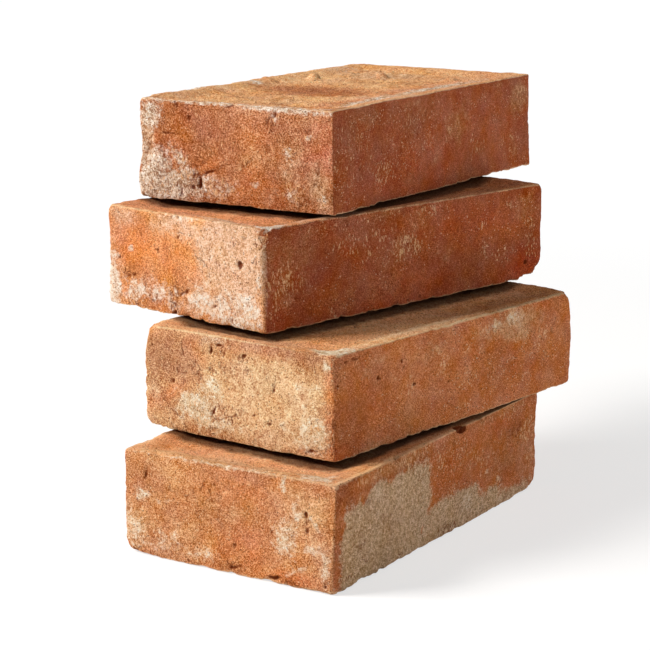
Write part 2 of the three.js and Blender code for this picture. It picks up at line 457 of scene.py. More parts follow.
def makeBrick(brick, spotGroup):
    low, high = (Vector(corner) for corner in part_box(brick["node"]))
    centre = (low + high) / 2
    centre.x, centre.y = (place * mm for place in brick["centre"])
    turn = math.radians(brick["turn"])
    box = [side + 2 * moulding["gridProud"] for side in brick["size"]]
    across, along, up = (math.ceil(side / moulding["gridStep"]) + 1 for side in box)

    # A copy of the frame's brick, whose loose triangles are merged first.
    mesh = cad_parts[brick["node"]].data.copy()
    shell = bpy.data.objects.new(brick["node"] + "_shell", mesh)
    bpy.context.scene.collection.objects.link(shell)
    welded = shell.modifiers.new("weld", "WELD")
    welded.merge_threshold = 0.001 * mm
    modifier = shell.modifiers.new("brick", "NODES")
    modifier.node_group = makeBrickTree(brick, spotGroup)
    values = {
        "Centre": centre, "Turn": turn, "Box": box, "Across": across, "Along": along, "Up": up,
        "Clay": makeClay(brick, centre, turn), **brick["surface"],
    }
    if brick["above"]:
        values["Above"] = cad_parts[brick["above"]]
    for item in modifier.node_group.interface.items_tree:
        if item.in_out == "INPUT" and item.name in values:
            modifier[item.identifier] = values[item.name]

    depsgraph = bpy.context.evaluated_depsgraph_get()
    worked = bpy.data.meshes.new_from_object(
        shell.evaluated_get(depsgraph), preserve_all_data_layers=True, depsgraph=depsgraph)
    bpy.data.objects.remove(shell)
    piece = bpy.data.objects.new(brick["piece"], worked)
    bpy.context.scene.collection.objects.link(piece)
    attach(piece, "root")
    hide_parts(brick["node"])
    print("made", brick["piece"], "with", len(worked.polygons), "faces")


# The clay's patterns: wavelength in mm, shift of the seed, detail, roughness and distortion.
clayPatterns = {
    "patches": (38, 1.7, 3.0, 0.55, 0.0),     # where the fire was hotter or cooler
    "mottle": (7, 2.9, 4.0, 0.62, 0.0),
    "crumbs": (2.2, 4.4, 3.0, 0.65, 0.0),
    "grit": (0.6, 6.1, 1.0, 0.7, 0.0),        # coarser than real sand, so that it shows
    "hue": (11, 3.6, 3.0, 0.6, 0.0),
    "strength": (16, 8.2, 3.0, 0.6, 0.0),
    "folds": (15, 7.7, 5.0, 0.5, 0.3),        # a crease is where this crosses its middle
    "creasing": (12, 9.1, 2.0, 0.55, 0.0),    # where there are creases
    "flecks": (1.3, 1.1, 2.0, 0.6, 0.0),
    "burnt": (1.3, 5.2, 2.0, 0.6, 0.0),
}
dragged = (1.15, 1.15, 0.5)   # flecks and burnt specks are narrow and long upright


# Fired clay, hand-moulded in sand: matt and dry, never one colour. The clay shows through
# a skin of moulding sand, and there is old lime and mortar on some faces.
def makeClay(brick, centre, turn):
    look = brick["clay"]
    material = bpy.data.materials.new("fired clay of " + brick["piece"])
    material.use_nodes = True
    tree = material.node_tree
    add = partial(addNode, tree)
    shader = tree.nodes["Principled BSDF"]
    shader.inputs["Roughness"].default_value = look["roughness"]
    shader.inputs["Specular IOR Level"].default_value = 0.05   # bare clay has no gloss
    shader.inputs["Diffuse Roughness"].default_value = 0.6

    # The brick's own millimetres, with its length along Y.
    place = add("ShaderNodeMapping", {
        "Vector": add("ShaderNodeTexCoord").node.outputs["Object"], "Location": centre,
        "Rotation": (0, 0, turn), "Scale": (mm, mm, mm)}, vector_type="TEXTURE")
    draggedPlace = add("ShaderNodeVectorMath", {0: place, 1: dragged}, operation="MULTIPLY")
    noises = {}
    for name, (wavelength, shift, detail, roughness, distortion) in clayPatterns.items():
        noises[name] = add("ShaderNodeTexNoise", {
            "Vector": draggedPlace if name in ("flecks", "burnt") else place,
            "W": brick["surface"]["Seed"] + shift, "Scale": 1 / wavelength, "Detail": detail,
            "Roughness": roughness, "Distortion": distortion}, noise_dimensions="4D")
    patches, mottle = noises["patches"], noises["mottle"]
    crumbs, grit = noises["crumbs"], noises["grit"]

    # The sand's grains, as cells with shaken edges, each darker or lighter than the next.
    # Each cell is darker in its sunken middle too: painted shade of the bump's dips.
    shaking = add("ShaderNodeTexNoise", {"Vector": place, "Scale": 1.0})
    shaken = add("ShaderNodeVectorMath", {
        0: shaking.node.outputs["Color"], "Scale": 0.9}, operation="SCALE")
    aside = add("ShaderNodeVectorMath", {0: place, 1: shaken}, operation="ADD")
    grains = add("ShaderNodeTexVoronoi", {"Vector": aside, "Scale": 1 / look["grain"]})
    grain = add("ShaderNodeSeparateXYZ", {0: grains.node.outputs["Color"]})
    poreShade = add("ShaderNodeMath", {0: grains, 1: 0.06}, operation="SUBTRACT")

    # Adds up patterns by weight, about 0.5.
    def blend(*shares):
        total = 0.5 - 0.5 * sum(weight for pattern, weight in shares)
        for pattern, weight in shares:
            total = add("ShaderNodeMath", {
                0: pattern, 1: weight, 2: total}, operation="MULTIPLY_ADD")
        return total

    tone = blend((patches, 0.7), (mottle, 0.5), (crumbs, 0.12), (grit, 0.2), (grain, 0.5),
                 (poreShade, 1.0))
    crust = blend((patches, 0.4), (mottle, 0.4), (crumbs, 1.7), (grain, 0.4), (poreShade, 1.0))
    breaking = blend((mottle, 1.0), (crumbs, 1.3), (grit, 0.6))
    powdery = blend((mottle, 1.1), (crumbs, 0.4), (grit, 0.6))

    # A palette's dark, middle and light colour, by how light a pattern is.
    def tones(name, pattern):
        colour, middle, light = (linear(colour) for colour in look[name])
        for over, low, high in ((middle, 0.1, 0.5), (light, 0.5, 0.95)):
            share = add("ShaderNodeMapRange", {
                "Value": pattern, "From Min": low, "From Max": high})
            colour = add("ShaderNodeMix", {
                "Factor": share, "A": colour, "B": over}, data_type="RGBA")
        return colour

    # What the brick's tree stored, and the soft steps that the masks are made of: 0 up to the
    # first number, 1 from the second.
    stored = {name: add("ShaderNodeAttribute", attribute_name=name).node.outputs["Fac"]
              for name in ("cavity", "arris", "contact", *coverKinds)}
    facing = add("ShaderNodeAttribute", attribute_name="facing").node.outputs["Vector"]
    facings = add("ShaderNodeSeparateXYZ", {0: facing}).node.outputs
    steps = {
        "header": (facings["Y"], 0.45, 0.85),
        "bed": (facings["Z"], 0.5, 0.85),
        "bedArris": (facings["Z"], 0.05, 0.3),
        "mottled": (mottle, 0.15, 0.6),
        "crowded": (mottle, 0.35, 0.65),
        "crumbled": (crumbs, 0.3, 0.7),
        "creased": (noises["creasing"], 0.56, 0.7),
        "cracked": (stored["burnt"], 0.1, 0.6),
        "shadedPits": (stored["cavity"], 0.15, 0.8),
    }
    past = {name: add("ShaderNodeMapRange", {
        "Value": value, "From Min": low, "From Max": high},
        interpolation_type="SMOOTHSTEP") for name, (value, low, high) in steps.items()}

    # Each face has its own clay: the beds are struck or sanded, and the headers burnt paler.
    # Layers of (colour, mask) lie over one another, the later on top.
    colour = tones("stretcher", tone)
    layers = [(tones("header", tone), past["header"]), (tones("bed", tone), past["bed"])]

    # Soft stains, burnt in: they have no edge, and the mottle breaks them. The brown ones also
    # paint the shadow that each brick casts on the top of the one below.
    for name in ("orange", "red", "pink", "brown"):
        broken = add("ShaderNodeMath", {0: stored[name], 1: past["mottled"]}, operation="MULTIPLY")
        layers.append((tones(name, tone), broken))

    # The arrises of the beds are paler: partly rubbed wear, partly a painted highlight.
    unevenArris = add("ShaderNodeMath", {
        0: breaking, 1: 0.5, 2: stored["arris"]}, operation="MULTIPLY_ADD")
    rubbed = add("ShaderNodeMapRange", {
        "Value": unevenArris, "From Min": 0.95, "From Max": 1.3, "To Max": look["rubbed"]},
        interpolation_type="SMOOTHSTEP")
    arrisWearAndHighlightHere = add("ShaderNodeMath", {0: rubbed, 1: past["bedArris"]}, operation="MULTIPLY")
    layers.append((linear(look["header"][2]), arrisWearAndHighlightHere))

    # Covers that crumble: where a cover is thin, only the crumbs of it are left.
    for name, most in look["covering"].items():
        edge = powdery if name in ("dust", "sand") else breaking
        over = add("ShaderNodeMath", {0: stored[name], 1: 1.3, 2: -0.8}, operation="MULTIPLY_ADD")
        left = add("ShaderNodeMath", {0: over, 1: edge}, operation="ADD")
        share = add("ShaderNodeMapRange", {
            "Value": left, "From Min": 0.05, "From Max": 0.75, "To Max": most},
            interpolation_type="SMOOTHSTEP")
        layers.append((tones(name, crust), share))

    # Clusters of specks lie on top of the covers: pale flecks of lime, and burnt ones.
    speckStart, speck = look["speckEdge"]
    for name in ("flecks", "burnt"):
        crowded = add("ShaderNodeMath", {
            0: stored[name], 1: look["crowding"], 2: noises[name]}, operation="MULTIPLY_ADD")
        specks = add("ShaderNodeMapRange", {
            "Value": crowded, "From Min": speckStart, "From Max": speck,
            "To Max": look["speckling"]}, interpolation_type="SMOOTHSTEP")
        inCluster = add("ShaderNodeMapRange", {
            "Value": stored[name], "From Min": 0.0, "From Max": 0.3},
            interpolation_type="SMOOTHSTEP")
        share = add("ShaderNodeMath", {0: specks, 1: inCluster}, operation="MULTIPLY")
        layers.append((tones(name, tone), share))
    for over, mask in layers:
        colour = add("ShaderNodeMix", {"Factor": mask, "A": colour, "B": over}, data_type="RGBA")

    # The fire turned the clay pinker in some places and more golden in others.
    hue = blend((noises["hue"], look["hueVaries"]))
    weakest, varies = look["strength"]
    strength = add("ShaderNodeMath", {
        0: noises["strength"], 1: varies, 2: weakest}, operation="MULTIPLY_ADD")
    colour = add("ShaderNodeHueSaturation", {"Color": colour, "Hue": hue, "Saturation": strength})

    # Specks of pale grit, and pinholes darkened as painted shade, more of each in some places
    # than in others.
    layers = []
    marks = {}
    crowd = add("ShaderNodeMath", {0: past["crowded"], 1: stored["sand"]}, operation="MAXIMUM")
    for name in ("speck", "shadedPinhole"):
        cells = add("ShaderNodeTexVoronoi", {"Vector": aside, "Scale": 1 / look[name + "Spacing"]})
        chance = add("ShaderNodeSeparateXYZ", {0: cells.node.outputs["Color"]}).node.outputs
        some = add("ShaderNodeMath", {0: crowd, 1: look[name + "Share"]}, operation="MULTIPLY")
        has = add("ShaderNodeMath", {0: chance["X"], 1: some}, operation="LESS_THAN")
        reach = add("ShaderNodeMapRange", {
            "Value": chance["Z"], "From Min": -0.8, "From Max": 1.0, "To Max": 0.36})
        inside = add("ShaderNodeMath", {0: reach, 1: cells}, operation="SUBTRACT")
        shape = add("ShaderNodeMapRange", {
            "Value": inside, "From Min": 0.0, "From Max": 0.05}, interpolation_type="SMOOTHSTEP")
        marks[name] = add("ShaderNodeMath", {0: shape, 1: has}, operation="MULTIPLY")
        mask = add("ShaderNodeMath", {0: marks[name], 1: 0.9}, operation="MULTIPLY")
        layers.append((linear(look[name]), mask))

    # Creases: fine lines where the clay folded as it was thrown into the mould, sunk by the
    # bump and darkened with painted shade.
    fromMiddle = add("ShaderNodeMath", {0: noises["folds"], 1: 0.5}, operation="SUBTRACT")
    offLine = add("ShaderNodeMath", {0: fromMiddle}, operation="ABSOLUTE")
    lineFull, lineEnd = look["crease"]
    onLine = add("ShaderNodeMapRange", {
        "Value": offLine, "From Min": lineFull, "From Max": lineEnd, "To Min": 1.0, "To Max": 0.0})
    creasing = add("ShaderNodeMath", {0: past["creased"], 1: past["cracked"]}, operation="MAXIMUM")
    crease = add("ShaderNodeMath", {0: onLine, 1: creasing}, operation="MULTIPLY")
    creaseShadeMask = add("ShaderNodeMath", {0: crease, 1: past["crumbled"]}, operation="MULTIPLY")

    # Painted shade: the bed is darkened along the brick that lies on it,
    # and the pits and cracks are darkened too.
    damp = add("ShaderNodeMath", {0: stored["contact"], 1: look["damp"]}, operation="MULTIPLY")
    dirt = add("ShaderNodeMath", {0: past["shadedPits"], 1: look["dirt"]}, operation="MULTIPLY")
    layers += [(linear(look["pit"]), creaseShadeMask), (linear(look["soot"]), damp),
               (linear(look["pit"]), dirt)]
    for over, mask in layers:
        colour = add("ShaderNodeMix", {"Factor": mask, "A": colour, "B": over}, data_type="RGBA")
    tree.links.new(colour, shader.inputs["Base Color"])

    # Relief finer than the mesh: the sand's grains, the crumbs, the pinholes and the creases.
    relief = blend((crumbs, 0.45), (grit, 0.5), (grain, 0.2), (grains, 0.5))
    for mark, height in ((marks["shadedPinhole"], -0.35), (crease, -0.4), (marks["speck"], 0.12)):
        relief = add("ShaderNodeMath", {0: mark, 1: height, 2: relief}, operation="MULTIPLY_ADD")
    rougher = add("ShaderNodeMath", {0: past["bed"], 1: 0.5, 2: 1.0}, operation="MULTIPLY_ADD")
    height = add("ShaderNodeMath", {0: relief, 1: rougher}, operation="MULTIPLY")
    bump = add("ShaderNodeBump", {
        "Height": height, "Strength": 1.0, "Distance": look["relief"] * mm})
    tree.links.new(bump, shader.inputs["Normal"])
    return material


# What the bricks' clay is like where a brick's own dictionary doesn't say otherwise. A palette
# is a dark, a middle and a light colour.
allClay = {
    "roughness": 0.9,
    "flecks": ("#cf8f58", "#efc08c", "#ffe2b6"),
    "burnt": ("#5f2c0e", "#8f4a1e", "#b9703f"),
    "dust": ("#8c5326", "#c48452", "#e9b382"),
    "mortar": ("#9c744c", "#d6ae84", "#f4d8b4"),
    # Colours of painted shade: in the pinholes, in the pits and creases, and along the brick above.
    "shadedPinhole": "#6e2f0b", "pit": "#743010", "soot": "#361a0c",
    "grain": 0.5,               # mm, the sand's grains: about 0.3 in life, coarser to show
    "speckSpacing": 1.3,        # mm
    "speckShare": 0.3,          # of the places that a speck could be at
    "shadedPinholeSpacing": 1.2,      # mm
    "shadedPinholeShare": 0.35,
    "relief": 0.6,              # mm, of the bump
    "rubbed": 0.6,              # how pale the arrises of the beds are, from wear and a painted highlight
    "damp": 0.78,               # how dark the painted shade beside the brick above is
    "dirt": 0.92,               # how dark the painted shade in the pits and cracks is
    "hueVaries": 0.02,          # of the colour wheel
    "strength": (0.79, 0.35),   # of the colour: the least, and by how much it varies
    "speckling": 0.8,           # how much flecks and burnt specks hide at most
    "speckEdge": (0.64, 0.7),   # of their noise, where one starts and is full
    "crowding": 0.13,           # how many more there are in the middle of a cluster
    "crease": (0.004, 0.018),   # of the folds' noise, where a crease is full and has ended
    # How much of the clay each cover hides at most, the one on top last.
    "covering": {"dust": 0.75, "sand": 0.8, "mortar": 0.92, "lime": 0.9},
}
allSurface = {"Wave": 0.6, "Chips": 1.6, "Dish": 2.4, "Struck": 1.5, "Wear": 1.1}

# The bricks from the ground up.
bottomBrick = {
    "piece": "weathered_brick_bottom",
    "node": "brick_bottom",
    "above": "brick_second",
    "slot": "clay_bottom",
    "centre": (0, 0),              # mm, in plan, as the frame has it
    "turn": 0,                     # degrees, anticlockwise from above
    "size": (124.1, 223.4, 55),    # mm
    "surface": {**allSurface, "Seed": 11.0, "Lumps": 0.5, "Sand": 0.3, "Pits": 0.9},
    "clay": {
        **allClay, "roughness": 0.92, "speck": "#f0cda4",
        "header": ("#944914", "#dd9155", "#fbd4a2"),
        "stretcher": ("#a15324", "#cd7538", "#f1a475"),
        "bed": ("#ad5e29", "#ffb376", "#ffdcaa"),
        "orange": ("#9a3f00", "#dc6d24", "#f9a15d"),
        "brown": ("#692a05", "#a55327", "#ce844d"),
        "red": ("#9c4617", "#c96528", "#ea935a"),
        "pink": ("#a9572f", "#e09a70", "#fcd0ae"),
        "sand": ("#a46833", "#ecb178", "#ffe0b4"),
        "mortar": ("#956f45", "#d6b188", "#fce3c4"),
        "lime": ("#b6885d", "#f3d3b0", "#f6f5e8"),
    },
    "orange": {
        "front": [
            (72, 44, 20, 8, 0.5), (72, 16, 18, 9, 0.6), (100, 4, 14, 4, 0.8), (84, 9, 10, 6, 0.4),
        ],
    },
    "brown": {
        "front": [(12, 44, 12, 10, 0.3), (60, 28, 25, 12, 0.25)],
        "right": [
            (55, 47.5, 42, 2.2, 0.8, 1), (8, 48, 14, 9, 0.95, 15), (195, 38, 12, 4, 0.6),
            (115, 3, 10, 2, 0.8), (156, 2, 8, 1.5, 0.6), (25, 20, 5, 3, 0.4), (60, 5, 5, 2.5, 0.6),
            (2, 15, 3, 20, 0.5),
        ],
        "left": [(84, 44, 34, 9, 0.6), (12, 26, 12, 20, 0.5)],
        "back": [(60, 40, 30, 10, 0.5)],
        # A painted shadow of the brick above, browning the strip of the top to its right.
        "top": [(114, 120, 12, 110, 0.4)],
    },
    "red": {
        "right": [
            (150, 40, 54, 16, 0.4, -4), (113, 36, 17, 15, 0.7), (175, 47, 14, 4, 0.9),
            (140, 26, 42, 7, 0.5, -9),
        ],
    },
    "pink": {
        "front": [(104, 46, 18, 9, 0.6), (88, 52, 34, 4, 0.5), (8, 30, 8, 12, 0.4)],
        "right": [(25, 20, 7, 6, 0.5), (57, 14, 8, 5, 0.5), (30, 30, 26, 14, 0.3)],
        "top": [(30, 20, 24, 8, 0.4)],
    },
    "flecks": {
        "front": [(28, 9, 8, 5, 0.7), (118, 18, 5, 9, 0.6), (48, 7, 12, 4, 0.6)],
        "right": [
            (30, 52, 12, 4, 0.9), (72, 52, 22, 4, 0.9), (125, 42, 24, 10, 0.45),
            (147, 32, 9, 3, 0.9), (105, 42, 6, 8, 0.6), (160, 25, 9, 4, 0.8), (175, 17, 5, 4, 1.1),
            (210, 35, 10, 8, 0.9), (215, 18, 9, 8, 0.7), (190, 50, 34, 4, 0.6),
            (121, 22, 8, 3, 0.9), (175, 35, 40, 5, 0.3),
        ],
        "left": [(150, 28, 46, 16, 0.5), (60, 30, 20, 10, 0.7)],
        "back": [(70, 22, 24, 12, 0.6)],
    },
    "burnt": {
        "front": [
            (9, 2, 10, 2, 0.9), (68, 4, 8, 3, 0.85, 10), (40, 2, 14, 2, 0.6),
            (102, 2, 14, 2, 0.75), (13.5, 43, 1.2, 3, 1.0), (110, 34, 2, 6, 0.7),
            (121, 4, 2, 2, 0.9), (54, 38, 14, 8, 0.35), (116, 46, 4, 3, 0.55),
        ],
        "right": [
            (3, 30, 2, 20, 0.4), (115, 3, 10, 2, 0.6), (22, 21, 7, 4, 0.7), (115, 3, 12, 3, 1.0),
            (155, 2.5, 6, 2.5, 0.9), (60, 4, 6, 3, 0.7), (195, 38, 12, 5, 0.6),
            (12, 10, 10, 8, 0.4),
        ],
    },
    "sand": {
        "front": [
            (8, 14, 10, 16, 0.8), (104, 46, 18, 8, 0.6), (35, 12, 20, 9, 0.5),
            (100, 35, 10, 18, 0.45), (112, 40, 11, 14, 0.8), (38, 14, 26, 12, 0.5),
            (68, 32, 18, 7, 0.5),
        ],
        "top": [(60, 8, 62, 9, 0.9)],
    },
    "dust": {
        "right": [
            (52, 51.5, 34, 2.5, 0.5), (210, 34, 8, 6, 0.3), (150, 50, 40, 3, 0.3),
            (55, 51, 40, 4, 0.8), (170, 52, 50, 3, 0.55), (165, 32, 40, 3, 0.4),
            (165, 21, 22, 5, 0.55), (205, 14, 18, 5, 0.5), (120, 33, 24, 3, 0.25),
            (188, 28, 36, 14, 0.5),
        ],
        "left": [(190, 38, 24, 10, 0.6), (100, 14, 30, 8, 0.5)],
    },
    "mortar": {
        "right": [
            (90.5, 34, 3.5, 13, 1.0), (150, -8, 72, 18, 0.85, -3), (112, 7, 28, 13, 0.9, -2),
            (132, 8, 20, 13, 1.0), (156, 3, 22, 11, 1.0, -4), (208, 2, 12, 7, 0.6),
            (48, 15, 46, 30, 1.0), (60, 34, 33, 12, 1.0, -2),
        ],
        "left": [(206, 8, 18, 10, 0.8, 4)],
        "back": [(96, 12, 26, 16, 0.9, -3)],
    },
    "lime": {
        "front": [
            (10, 32, 5, 4, 0.8), (22, 30, 9, 1.4, 0.5, 15), (3, 18, 5, 8, 0.6),
            (25, 9, 10, 6, 0.62), (48, 7, 12, 4, 0.55), (96, 50, 2, 5, 0.7), (103, 37, 3, 9, 0.7),
            (99, 23, 8, 12, 0.7), (114, 21, 7, 2.5, 0.75, 10), (104, 9, 8, 2, 0.7, 25),
            # The long mark along the top arris is part lime, part a painted highlight.
            (121, 12, 3, 11, 0.75), (115, 33, 6, 1.2, 0.8, -50), (60, 54.5, 60, 1.2, 0.6),
            (6, 12, 8, 12, 0.6),
        ],
        "right": [
            (137, 11, 5, 6, 0.8), (174, 16, 3, 2, 0.7), (160, 23, 3, 1.5, 0.6),
            (121, 20, 4, 2.5, 0.6),
        ],
        "left": [(44, 9, 30, 8, 0.7), (120, 44, 22, 7, 0.5, 4), (160, 5, 30, 4, 0.6)],
        "back": [(24, 38, 14, 10, 0.6)],
        # The long mark along the front arris is part lime, part a painted highlight.
        "top": [(110, 8, 12, 9, 0.8), (70, 1, 54, 2, 0.6)],
    },
    "dents": {
        "front": [
            (110, 30, 1, 2, 1.2), (109, 38, 0.8, 2.4, 1.0), (13.5, 43, 0.8, 3, 1.1),
            (68, 4, 4, 1.2, 1.0, 20), (121, 4, 1.2, 1.2, 1.2), (92, 3, 5, 1, 1.2, 15),
        ],
        "right": [(130, 54, 5.5, 2.4, 3), (94.8, 34, 0.6, 11, 0.5)],
        "left": [(70, 22, 1, 2.4, 1.2, 20), (163, 36, 2.4, 1, 1.2, 10), (112, 52, 5, 1.6, 1.6)],
        "back": [(80, 31, 1.2, 1.8, 1.3)],
    },
    "hollows": {
        "front": [(4, 1, 10, 3, 1.0)],
        "right": [(223, 25, 6, 8, 0.8)],
    },
    "knobs": {},
}

secondBrick = {
    "piece": "weathered_brick_second",
    "node": "brick_second",
    "above": "brick_third",
    "slot": "clay_second",
    "centre": (-3.8, 33.2),
    "turn": -6.9,
    "size": (123, 219.9, 54.5),
    "surface": {**allSurface, "Seed": 23.0, "Lumps": 0.6, "Sand": 0.34, "Pits": 1.1, "Chips": 1.8},
    "clay": {
        **allClay, "roughness": 0.94, "speck": "#f2d6ae",
        "header": ("#94491c", "#e3a96e", "#ffe9b6"),
        "stretcher": ("#a85321", "#d87b40", "#f6b278"),
        "bed": ("#a65a21", "#ffb578", "#ffe0a9"),
        "orange": ("#9d3f00", "#e78133", "#ffb676"),
        "brown": ("#6d370c", "#b56f3e", "#dda06d"),
        "red": ("#9f4715", "#ca6627", "#e99355"),
        "pink": ("#98573a", "#d09a76", "#f2cba8"),
        "dust": ("#a46b39", "#dea676", "#fad3a5"),
        "sand": ("#b4713f", "#f2ca98", "#fff0ca"),
        "lime": ("#b29167", "#f4dcb6", "#f7f9f0"),
    },
    "orange": {
        "front": [
            (15, 18, 15, 4, 0.8, 28), (31, 48, 6, 4, 0.9), (36, 42, 6, 4, 0.5),
            (75, 51, 24, 4, 0.5), (103, 30, 3, 4, 0.5), (121, 27, 4, 27, 1.0), (108, 4, 9, 2, 0.6),
            (12, 50, 10, 4, 0.5),
        ],
    },
    "brown": {
        "front": [
            (14, 41, 14, 9, 0.55), (30, 35, 9, 12, 0.35), (106, 47, 10, 6, 0.5),
            (16, 46, 18, 6, 0.6),
        ],
        "right": [
            (5, 40, 6, 12, 0.4), (100, 10, 20, 6, 0.25), (12, 18, 14, 18, 0.5),
            (62, 10, 14, 8, 0.5),
        ],
        "left": [(110, 20, 40, 12, 0.5), (210, 30, 10, 20, 0.5)],
        "back": [(30, 24, 18, 14, 0.5)],
        # A painted shadow of the brick above, browning the strip of the top to its right.
        "top": [(112, 150, 14, 90, 0.4)],
    },
    "red": {
        "right": [
            (94, 23, 4, 3, 0.6), (12, 18, 14, 18, 0.9), (96, 11, 28, 8, 0.7),
            (175, 20, 30, 8, 0.3),
        ],
    },
    "pink": {
        "front": [
            (20, 40, 20, 14, 0.7), (8, 14, 10, 12, 0.5), (75, 52, 46, 4, 0.9),
            (112, 16, 12, 14, 0.6),
        ],
        "top": [(60, 10, 50, 12, 0.4)],
    },
    "flecks": {
        "front": [(112, 14, 6, 10, 0.5, -20), (36, 16, 10, 7, 0.6)],
        "right": [
            (65, 27, 3, 5, 1.0), (88, 43, 3.5, 3, 1.2), (92, 33, 4, 5, 0.8),
            (141, 46, 9, 3.5, 1.0), (190, 35, 8, 3.5, 0.8, 8), (130, 21, 11, 2.5, 0.8),
            (117, 7, 5, 3, 0.8), (175, 13, 7, 2.6, 0.8), (160, 50, 17, 5, 1.0),
            (160, 44, 18, 7, 0.7), (92, 33, 5, 5, 0.9), (135, 46, 14, 4, 0.8), (65, 27, 3, 6, 1.0),
        ],
        "left": [(90, 38, 40, 10, 0.6), (190, 42, 20, 8, 0.7)],
        "back": [(60, 14, 30, 8, 0.6)],
    },
    "burnt": {
        "front": [
            (44.5, 47, 2, 4, 0.9), (51, 48, 6, 4, 0.75), (63, 46, 6, 3, 0.9),
            (54, 15, 8, 5, 0.65, 20), (50, 4, 11, 5, 0.5), (30, 2, 10, 3, 0.5),
            (69, 39, 3, 4, 0.65), (85, 34, 1.6, 5, 0.8, -12), (82, 14, 2, 2, 0.8),
            (46, 36, 2.4, 2.4, 1.0), (21, 34, 3, 3, 0.85), (5, 44, 2, 3, 0.9, 20),
            (26, 45, 3, 4, 0.75), (110, 4, 8, 2, 0.9, 15), (88, 2, 14, 2, 0.4),
            (33, 49, 3, 3, 0.7), (26, 27, 2, 3, 0.9, 30), (47, 12, 2, 5, 0.8, -15),
            (35, 36, 5, 7, 0.5), (20, 8, 8, 5, 0.5), (108, 47, 9, 4, 0.5),
        ],
        "right": [(37, 37, 2, 2, 0.7), (57, 42, 2, 2, 0.7), (99, 26, 2, 4, 0.6)],
    },
    "sand": {
        "front": [
            (82, 24, 42, 26, 0.85), (47, 26, 8, 20, 0.6), (60, 8, 50, 8, 0.8), (8, 20, 9, 7, 0.6),
        ],
        "top": [(114, 74, 9, 60, 0.8)],
    },
    "dust": {
        "right": [
            (27, 43, 13, 6, 0.5), (120, 46, 8, 3, 0.45), (163, 45, 28, 9, 0.9),
            (130, 42, 22, 9, 0.5), (203, 41, 9, 4, 0.4), (42, 3, 18, 3, 0.5),
            (60, 35, 40, 14, 0.25), (36, 44, 16, 7, 0.5), (85, 42, 14, 7, 0.5),
            (150, 26, 34, 8, 0.35),
        ],
        "left": [(60, 14, 30, 9, 0.6), (140, 46, 26, 6, 0.6)],
    },
    "mortar": {},
    "lime": {
        "front": [
            (35, 16, 14, 9, 0.85), (46, 24, 9, 10, 0.6), (50, 9, 18, 6, 0.6), (108, 9, 12, 8, 0.6),
            (101, 36, 3, 2, 0.8), (110, 36, 7, 1.5, 0.5, 15), (92, 14, 3, 3, 0.6),
            (111, 14, 4, 9, 0.55, -20), (118, 48, 3, 3, 0.8), (48, 51, 12, 4, 0.45),
            (112, 14, 12, 13, 0.6),
        ],
        "right": [(158, 47, 14, 5, 0.6), (140, 46, 8, 3, 0.6)],
        "left": [(170, 13, 26, 8, 0.7), (30, 44, 16, 6, 0.6)],
        "back": [(92, 40, 16, 8, 0.6)],
        "top": [(113, 12, 12, 14, 0.8)],
    },
    "dents": {
        "front": [
            (5, 44, 0.6, 1.5, 1.2, 20), (22, 33, 0.75, 1.5, 1.2, 30), (25, 44, 0.6, 1.8, 1.2),
            (28, 33, 0.68, 1.35, 1.1), (20, 27, 0.68, 1.2, 1.1, 30), (44.5, 47, 0.68, 2.55, 1.3),
            (50, 50, 3, 0.68, 1.3, 10), (66, 46, 1.8, 0.75, 1.3, 20),
            (46.5, 14, 0.68, 2.25, 1.1, -15), (45, 5, 1.5, 0.75, 1), (84.5, 31, 0.6, 2.55, 1, -12),
            (82, 14, 1.05, 0.9, 1), (45, 36, 1.65, 0.75, 1.1), (110, 4, 3.75, 0.75, 1.3, 20),
            (55, 18, 2.25, 0.75, 1, 20),
        ],
        "right": [
            (57, 42, 1, 1, 1.3), (37, 37, 1, 1, 1.3), (5, 39, 1.1, 1.1, 1.3),
            (69, 28, 1.4, 1, 1.1), (100, 28, 1, 1, 1.2), (99, 23, 1.2, 0.9, 1.1),
            (16, 50.5, 14, 0.8, 0.8, 6), (59, 38.5, 0.9, 0.9, 1.2),
        ],
        "left": [(52, 30, 1, 2, 1.2), (132, 12, 1.4, 1.2, 1.2)],
        "back": [(44, 44, 3, 0.9, 1.1, 20)],
    },
    "hollows": {
        "front": [(6, 1, 8, 3, 0.5)],
    },
    "knobs": {},
}

